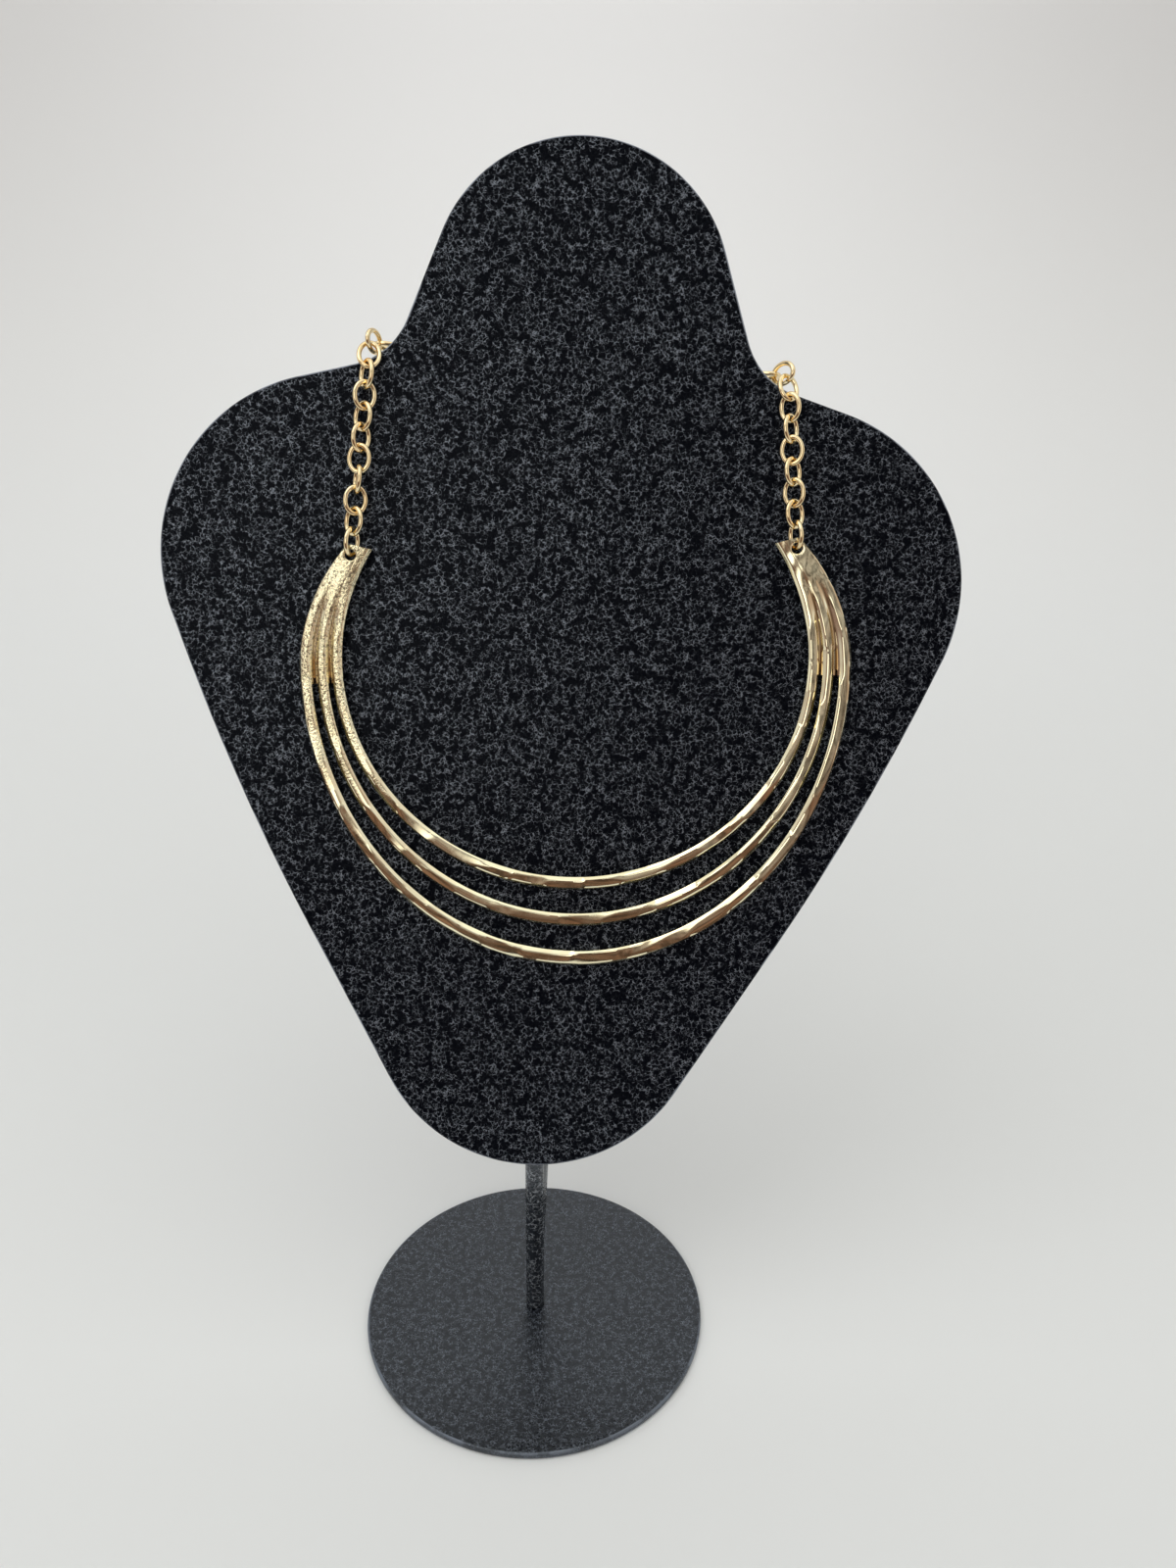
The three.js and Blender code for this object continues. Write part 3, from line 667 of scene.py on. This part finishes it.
bar_sizes = np.array(BARS)
inner_edges = np.column_stack([bar_sizes[:, 0] * COLLAR_HALF_WIDTH, bar_sizes[:, [2, 4]] * COLLAR_DROP])
outer_edges = np.column_stack([bar_sizes[:, 1] * COLLAR_HALF_WIDTH, bar_sizes[:, [3, 4]] * COLLAR_DROP])


def angle_at(middle, height):
    """The angle at which an edge reaches a height above its widest place."""
    return -np.arcsin((height - middle) / COLLAR_RISE)


def edge_points(half_width, lowest, middle, angle):
    """Half ellipses: angle 0 is the widest place on the right and 90 degrees the lowest point."""
    drop = np.sin(angle)
    reach = np.where(drop > 0, middle - lowest, COLLAR_RISE)
    return half_width * np.cos(angle), middle - reach * drop


# Columns run from the inner edge of the inner bar to the outer edge of the outer bar, closer together at
# each bar's edges.
EVEN_SPACING = 0.65

even_share = np.linspace(0, 1, BAR_COLUMNS)
edge_share = (1 - np.cos(np.pi * even_share)) / 2
bar_share = edge_share * (1 - EVEN_SPACING) + even_share * EVEN_SPACING
groove_share = np.linspace(0, 1, GROOVE_COLUMNS + 2)[1:-1]
column_parts, column_bar = [], []
for b in range(len(BARS)):
    column_parts.append(inner_edges[b] + bar_share[:, None] * (outer_edges[b] - inner_edges[b]))
    column_bar += [b] * BAR_COLUMNS
    if b + 1 < len(BARS):
        gap = inner_edges[b + 1] - outer_edges[b]
        column_parts.append(outer_edges[b] + groove_share[:, None] * gap)
        column_bar += [-1] * GROOVE_COLUMNS
half_width, lowest, middle = np.concatenate(column_parts).T
column_bar = np.array(column_bar)

# The top of an end rises from its inner corner, runs level and slopes down to its outer edge. Each column's
# top is tried against that line again until it settles.
end_top = HOLE_UP + END_LIGAMENT
inner_top = edge_points(*inner_edges[0], angle_at(inner_edges[0][2], end_top - END_LIGAMENT / 2))
outer_top = edge_points(*outer_edges[-1], angle_at(outer_edges[-1][2], end_top - END_LIGAMENT))
crest = np.array([inner_top[0] + END_WIDTH, end_top])
shoulder = crest + END_CORNER * (np.array(outer_top) - crest) + END_CORNER_BULGE
end_line = np.array([inner_top, crest, shoulder, outer_top])
top_angle = angle_at(middle, end_top)
for _ in range(TOP_TRIES):
    top_height = np.interp(half_width * np.cos(top_angle), end_line[:, 0], end_line[:, 1])
    top_angle = angle_at(middle, top_height)
row_share = np.linspace(0, 1, COLLAR_ROWS)[:, None]
angle = top_angle + (np.pi - 2 * top_angle) * row_share
across, up = edge_points(half_width, lowest, middle, angle)

random = np.random.default_rng(FACET_SEED)
bell = np.hanning(SMOOTH_ROWS)[1:-1] / np.hanning(SMOOTH_ROWS).sum()


def smoothed(line):
    """A line of heights, each the mean of its neighbours weighted by a cosine bell."""
    return np.convolve(np.pad(line, (SMOOTH_ROWS - 3) // 2, "edge"), bell, "valid")


def path_length(x, y, way):
    """Length from the start to each point along one way of a grid: the sum of the straight steps."""
    steps = np.hypot(np.diff(x, axis=way), np.diff(y, axis=way))
    return np.insert(np.cumsum(steps, axis=way), 0, 0, axis=way)


# A bar's height is the lowest of its crown with the facets let in and the two bevels. A facet is a dish: its
# depth plus its bow by the square of the way from its middle, plus its tilt by the way from the bar's middle.
surface = np.zeros_like(across)
for b in range(len(BARS)):
    here = column_bar == b
    x, y = across[:, here], up[:, here]
    centre = BAR_COLUMNS // 2
    along = path_length(x[:, centre], y[:, centre], 0)
    wide = path_length(x, y, 1)
    width = wide[:, -1:]
    starts = np.cumsum(random.uniform(*FACET_LENGTHS, FACETS_MOST))
    starts = starts[starts < along[-1] + FACET_OVERRUN]
    depth = random.uniform(-FACET_DEPTH, FACET_DEPTH, len(starts))
    skew = random.uniform(-FACET_SKEW, FACET_SKEW, len(starts))
    tilt = random.uniform(-FACET_TILT, FACET_TILT, len(starts))
    bow = random.uniform(*FACET_BOW, len(starts)) * DISH_CURVE
    off = wide - width / 2
    shift = along[:, None, None] + skew * off[:, :, None] - starts
    dishes = depth + bow * shift**2 + tilt * off[:, :, None]
    hammered = np.apply_along_axis(smoothed, 0, dishes.min(axis=2))
    facet = dishes[:, centre].argmin(axis=1)
    crown = BAR_TOP - BAR_CROWN * off**2
    inner_step = smoothed(random.uniform(*INNER_STEPS, len(starts))[facet])
    outer_step = smoothed(random.uniform(*OUTER_STEPS, len(starts))[facet])
    inner_slope = random.uniform(*INNER_SLOPES, len(starts))[facet][:, None]
    outer_slope = random.uniform(*OUTER_SLOPES, len(starts))[facet][:, None]
    inner_bevel = EDGE_HEIGHT_INNER + inner_step[:, None] + inner_slope * wide
    outer_bevel = EDGE_HEIGHT_OUTER + outer_step[:, None] + outer_slope * (width - wide)
    surface[:, here] = np.minimum(crown + hammered, np.minimum(inner_bevel, outer_bevel))

# Towards the ends the bars flatten into one plate, and the grooves between them grow shallow.
filled = np.clip((up - SLOT_TOP) / (GROOVE_TOP - SLOT_TOP), 0, 1)
fade = np.clip((up - FLATTENING_START) / (FLATTENING_END - FLATTENING_START), 0, 1)
fade = fade**2 * (3 - 2 * fade)
from_inner = path_length(across, up, 1)
from_outer = from_inner[:, -1:] - from_inner
ripples = sum(high * np.sin(rise * up + run * across) for high, rise, run in END_RIPPLES)
end_crown = END_CROWN * ((from_inner - from_outer) / 2) ** 2
end_bevels = np.minimum(END_EDGE_INNER + from_inner, END_EDGE_OUTER + END_SLOPE_OUTER * from_outer)
end_surface = np.minimum(END_TOP + ripples - end_crown, end_bevels)
end_surface = end_surface - INNER_ROLL * np.clip(1 - from_inner / INNER_ROLL_WIDTH, 0, 1) ** 2
surface = (1 - fade) * surface + fade * end_surface
for b in range(len(BARS) - 1):
    first = BAR_COLUMNS + b * (BAR_COLUMNS + GROOVE_COLUMNS)
    groove = slice(first, first + GROOVE_COLUMNS)
    edge = np.minimum(surface[:, first - 1], surface[:, first + GROOVE_COLUMNS])[:, None]
    surface[:, groove] = edge - (edge - END_THICKNESS + GROOVE_DEPTH) * (1 - filled[:, groove])

# The slots leave out the groove cells below their top. The holes leave out the cells that they cover, and
# the points round them move out to the hole's edge.
hole_height = angle_at(inner_edges[0][2], HOLE_UP)
hole_across = edge_points(*inner_edges[0], hole_height)[0] + HOLE_INSET
cell_across = (across[:-1, :-1] + across[1:, 1:]) / 2
cell_up = (up[:-1, :-1] + up[1:, 1:]) / 2
in_groove = (column_bar[:-1] < 0) | (column_bar[1:] < 0)
mid_groove = (column_bar[:-1] < 0) & (column_bar[1:] < 0)
kept = ~(in_groove & (cell_up < SLOT_TOP + SLOT_POINT * mid_groove))
radius = HOLE_DIAMETER / 2
drilled = np.hypot(np.abs(cell_across) - hole_across, cell_up - HOLE_UP) < radius
kept &= ~drilled
padded = np.pad(drilled, 1)
touches = padded[:-1, :-1] | padded[1:, :-1] | padded[:-1, 1:] | padded[1:, 1:]
side_of = np.sign(across)
from_hole = np.stack([np.abs(across) - hole_across, up - HOLE_UP])
distance = np.hypot(*from_hole)
snap = np.where(touches & (distance > HOLE_SNAP * radius), radius / np.maximum(distance, 1e-6), 1)
across = side_of * (hole_across + from_hole[0] * snap)
up = HOLE_UP + from_hole[1] * snap
distance = distance * snap
surface -= HOLE_CHAMFER * np.clip(1 - (distance - radius) / HOLE_CHAMFER_WIDTH, 0, 1)


def plate_with_openings(front, back, kept):
    """A closed shell from a front and a back grid of points, with the cells that are kept.

    Front cells face out, back cells face back, and a wall joins them wherever a kept cell meets none."""
    rows, columns = front.shape[:2]
    f = np.arange(rows * columns).reshape(rows, columns)
    b = f + rows * columns
    cells = np.pad(kept, 1)
    here = cells[1:-1, 1:-1]

    def quads(parts, mask):
        return np.stack([p[mask] for p in parts], axis=1)

    left, right = cells[1:-1, :-1], cells[1:-1, 1:]
    above, below = cells[:-1, 1:-1], cells[1:, 1:-1]
    faces = [
        quads((f[:-1, :-1], f[1:, :-1], f[1:, 1:], f[:-1, 1:]), here),
        quads((b[:-1, :-1], b[:-1, 1:], b[1:, 1:], b[1:, :-1]), here),
        quads((f[:-1], f[1:], b[1:], b[:-1]), left & ~right),
        quads((f[1:], f[:-1], b[:-1], b[1:]), right & ~left),
        quads((f[:, :-1], f[:, 1:], b[:, 1:], b[:, :-1]), below & ~above),
        quads((f[:, 1:], f[:, :-1], b[:, :-1], b[:, 1:]), above & ~below),
    ]
    faces = np.concatenate(faces)
    points = np.concatenate([front.reshape(-1, 3), back.reshape(-1, 3)])
    used, faces = np.unique(faces, return_inverse=True)
    return points[used], faces.reshape(-1, 4), used


collar_front = np.stack([across, up, surface], axis=-1)
collar_back = np.stack([across, up, np.zeros_like(up)], axis=-1)
collar_points, collar_faces, used = plate_with_openings(collar_front, collar_back, kept)
# Grain is 0 on the bars and the right end and 1 on the left end, whose skin is gritty.
grain = np.clip((up - GRAIN_START) / GRAIN_RISE, 0, 1) * (across < 0)
grain = np.concatenate([grain.ravel(), grain.ravel()])[used]
# Painted shade and gold-on-gold reflection is 1 on the webs and in the grooves between the bars, which get a
# darker, warmer colour.
groove_shade = np.clip((GROOVE_TOP + GROOVE_SHADE_OVER - up) / GROOVE_SHADE_RISE, 0, GROOVE_SHADE_MOST)
painted_recess_shade = np.clip(groove_shade + np.clip(1 - (up - SLOT_TOP) / WEB_SHADE_RISE, 0, 1), 0, 1)
painted_recess_shade = painted_recess_shade * (column_bar < 0) * (up > SLOT_TOP - WEB_SHADE_UNDER)
painted_recess_shade = np.concatenate([painted_recess_shade.ravel(), painted_recess_shade.ravel()])[used]

# Polished plate that is worn: clouds shift its tone, smears its gloss, and grit pits and roughens it.
CLOUD_SCALE = 160.0
SMEAR_SCALE = 520.0
GRIT_SCALE = 1350.0
GRIT_STRENGTH = 3.0
SMEAR_STRENGTH = 0.10
GRIT_DULLNESS = 0.12
GLOSS = (0.05, 0.14)
WORN_RELIEF = 0.0001
PIT_TONE = (0.16, 0.12, 0.06, 1)

worn_gold = shader_group(
    "worn_gold",
    [("Vector", VECTOR, None), ("Grain", FLOAT, 0.0)],
    [("Shade", FLOAT), ("Specks", FLOAT), ("Roughness", FLOAT), ("Height", FLOAT)],
)
given = add_node(worn_gold, "NodeGroupInput")
where = given.outputs["Vector"]
clouds = noise(worn_gold, where, CLOUD_SCALE, 3.0).outputs["Fac"]
smears = noise(worn_gold, where, SMEAR_SCALE, 4.0, 0.6).outputs["Fac"]
grit = noise(worn_gold, where, GRIT_SCALE, 2.0, 0.7).outputs["Fac"]
strong = arithmetic(worn_gold, "MULTIPLY", given.outputs["Grain"], GRIT_STRENGTH)
gritty = arithmetic(worn_gold, "MULTIPLY", grit, strong)
pits = ramp(worn_gold, grit, 0.38, 0.45, 0.75, 0.0)
gloss = ramp(worn_gold, smears, 0.35, 0.75, *GLOSS)
add_node(
    worn_gold,
    "NodeGroupOutput",
    Shade=ramp(worn_gold, clouds, 0.35, 0.7),
    Specks=arithmetic(worn_gold, "MULTIPLY", pits, given.outputs["Grain"]),
    Roughness=arithmetic(worn_gold, "MULTIPLY_ADD", given.outputs["Grain"], GRIT_DULLNESS, gloss),
    Height=arithmetic(worn_gold, "MULTIPLY_ADD", smears, SMEAR_STRENGTH, gritty),
)


def gold_metal(name, pale, deep, recess_shade_tone=None):
    """Gold-toned plate: its colour drifts between two tones, takes a dark warm tone as painted shade and
    reflection in grooves and on webs, and grain roughens it.
    """
    material = bpy.data.materials.new(name)
    material.use_nodes = True
    tree = material.node_tree
    shader = tree.nodes["Principled BSDF"]
    shader.inputs["Metallic"].default_value = 1
    place = add_node(tree, "ShaderNodeTexCoord").outputs["Object"]
    skin = add_node(tree, "ShaderNodeGroup", [("node_tree", worn_gold)], Vector=place)
    tone = blend(tree, skin.outputs["Shade"], pale, deep)
    if recess_shade_tone:
        grains = add_node(tree, "ShaderNodeAttribute", [("attribute_name", "grain")])
        tree.links.new(grains.outputs["Fac"], skin.inputs["Grain"])
        # Painted shade and gold-on-gold reflection in the grooves and on the webs, as a dark warm tone.
        recess_shade_attribute = add_node(tree, "ShaderNodeAttribute", [("attribute_name", "painted_recess_shade")])
        tone = blend(tree, recess_shade_attribute.outputs["Fac"], tone, recess_shade_tone)
        tone = blend(tree, skin.outputs["Specks"], tone, PIT_TONE)
    tree.links.new(tone, shader.inputs["Base Color"])
    tree.links.new(skin.outputs["Roughness"], shader.inputs["Roughness"])
    dent = add_node(tree, "ShaderNodeBump", Strength=0.6, Distance=WORN_RELIEF, Height=skin.outputs["Height"])
    tree.links.new(dent.outputs["Normal"], shader.inputs["Normal"])
    return material


COLLAR_PALE = (0.97, 0.90, 0.64, 1)
COLLAR_DEEP = (0.92, 0.81, 0.55, 1)
# A dark warm tone that is painted shade and gold-on-gold reflection in the grooves and on the webs.
PAINTED_RECESS_SHADE = (0.26, 0.135, 0.04, 1)

collar_gold = gold_metal("collar_gold", COLLAR_PALE, COLLAR_DEEP, PAINTED_RECESS_SHADE)
collar_world = on_plate(collar_points @ collar_axes.T + collar_place)
collar = mesh_piece("hammered_collar", collar_world, collar_faces.tolist(), collar_gold)
for name, values in (("grain", grain), ("painted_recess_shade", painted_recess_shade)):
    attribute = collar.data.attributes.new(name, "FLOAT", "POINT")
    attribute.data.foreach_set("value", values.astype(np.float32))
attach(collar, "root")
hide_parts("collar")

# The chain: oval links of round wire, closed by soldering, each passed through the next.
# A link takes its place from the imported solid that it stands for.
LINK_LENGTH = 8.3
LINK_WIDTH = 6.6
LINK_WIRE = 1.3
LINK_STEPS = 60
WIRE_STEPS = 14
LINK_COUNT = 38
CHAIN_PALE = (0.94, 0.79, 0.50, 1)
CHAIN_DEEP = (0.88, 0.67, 0.38, 1)

chain_gold = gold_metal("chain_gold", CHAIN_PALE, CHAIN_DEEP)


def link_surface():
    """Round wire carried along an ellipse; the wire's section stands square to the ellipse."""
    u = np.linspace(0, 2 * np.pi, LINK_STEPS, endpoint=False)[:, None]
    v = np.linspace(0, 2 * np.pi, WIRE_STEPS, endpoint=False)[None, :]
    long, wide, wire = (LINK_LENGTH - LINK_WIRE) / 2, (LINK_WIDTH - LINK_WIRE) / 2, LINK_WIRE / 2
    normal = np.hypot(long * np.cos(u), wide * np.sin(u))
    x = wide * np.cos(u) + wire * np.cos(v) * long * np.cos(u) / normal
    y = long * np.sin(u) + wire * np.cos(v) * wide * np.sin(u) / normal
    z = wire * np.sin(v) + 0 * u
    return np.stack([x, y, z], axis=-1).reshape(-1, 3)


def link_place(node):
    """Middle and axes (width, length, wire) of a packed link, from the spread of its vertices."""
    points = np.empty(3 * len(node.data.vertices))
    node.data.vertices.foreach_get("co", points)
    points = np.unique(np.round(points.reshape(-1, 3) / MM, 4), axis=0)
    middle = (points.max(axis=0) + points.min(axis=0)) / 2
    spread = np.linalg.svd(points - points.mean(axis=0), full_matrices=False)[2]
    length, width = spread[0], spread[1]
    axes = np.column_stack([width, length, np.cross(width, length)])
    reach = (points - middle) @ axes
    middle = middle + axes @ (reach.max(axis=0) + reach.min(axis=0)) / 2
    return middle, axes


link_points = link_surface()
link_quads = grid_quads(LINK_STEPS, WIRE_STEPS, around_rows=True, around_columns=True)[:, ::-1].tolist()
for number in range(1, LINK_COUNT + 1):
    node_name = f"link_{number:02d}"
    middle_point, axes = link_place(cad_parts[node_name])
    link = mesh_piece(f"wire_{node_name}", link_points @ axes.T + middle_point, link_quads, chain_gold)
    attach(link, "root")
    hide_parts(node_name)

# The clasp behind the neck: one plain flat piece of the chain's metal with an eye at each end for a link.
# It is stamped, and its edges are rounded.
CLASP_ROUND = 0.3
CLASP_SHARP = 40

clasp_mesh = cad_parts["clasp"].data.copy()
clasp_mesh.name = "plain_clasp"
clasp_mesh.materials.clear()
clasp_mesh.materials.append(chain_gold)
clasp = bpy.data.objects.new("plain_clasp", clasp_mesh)
bpy.context.scene.collection.objects.link(clasp)
merge = clasp.modifiers.new("merge", "WELD")
merge.merge_threshold = 1e-6
rounding = clasp.modifiers.new("rounding", "BEVEL")
rounding.width = CLASP_ROUND * MM
rounding.segments = 3
rounding.angle_limit = np.radians(CLASP_SHARP)
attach(clasp, "root")
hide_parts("clasp")
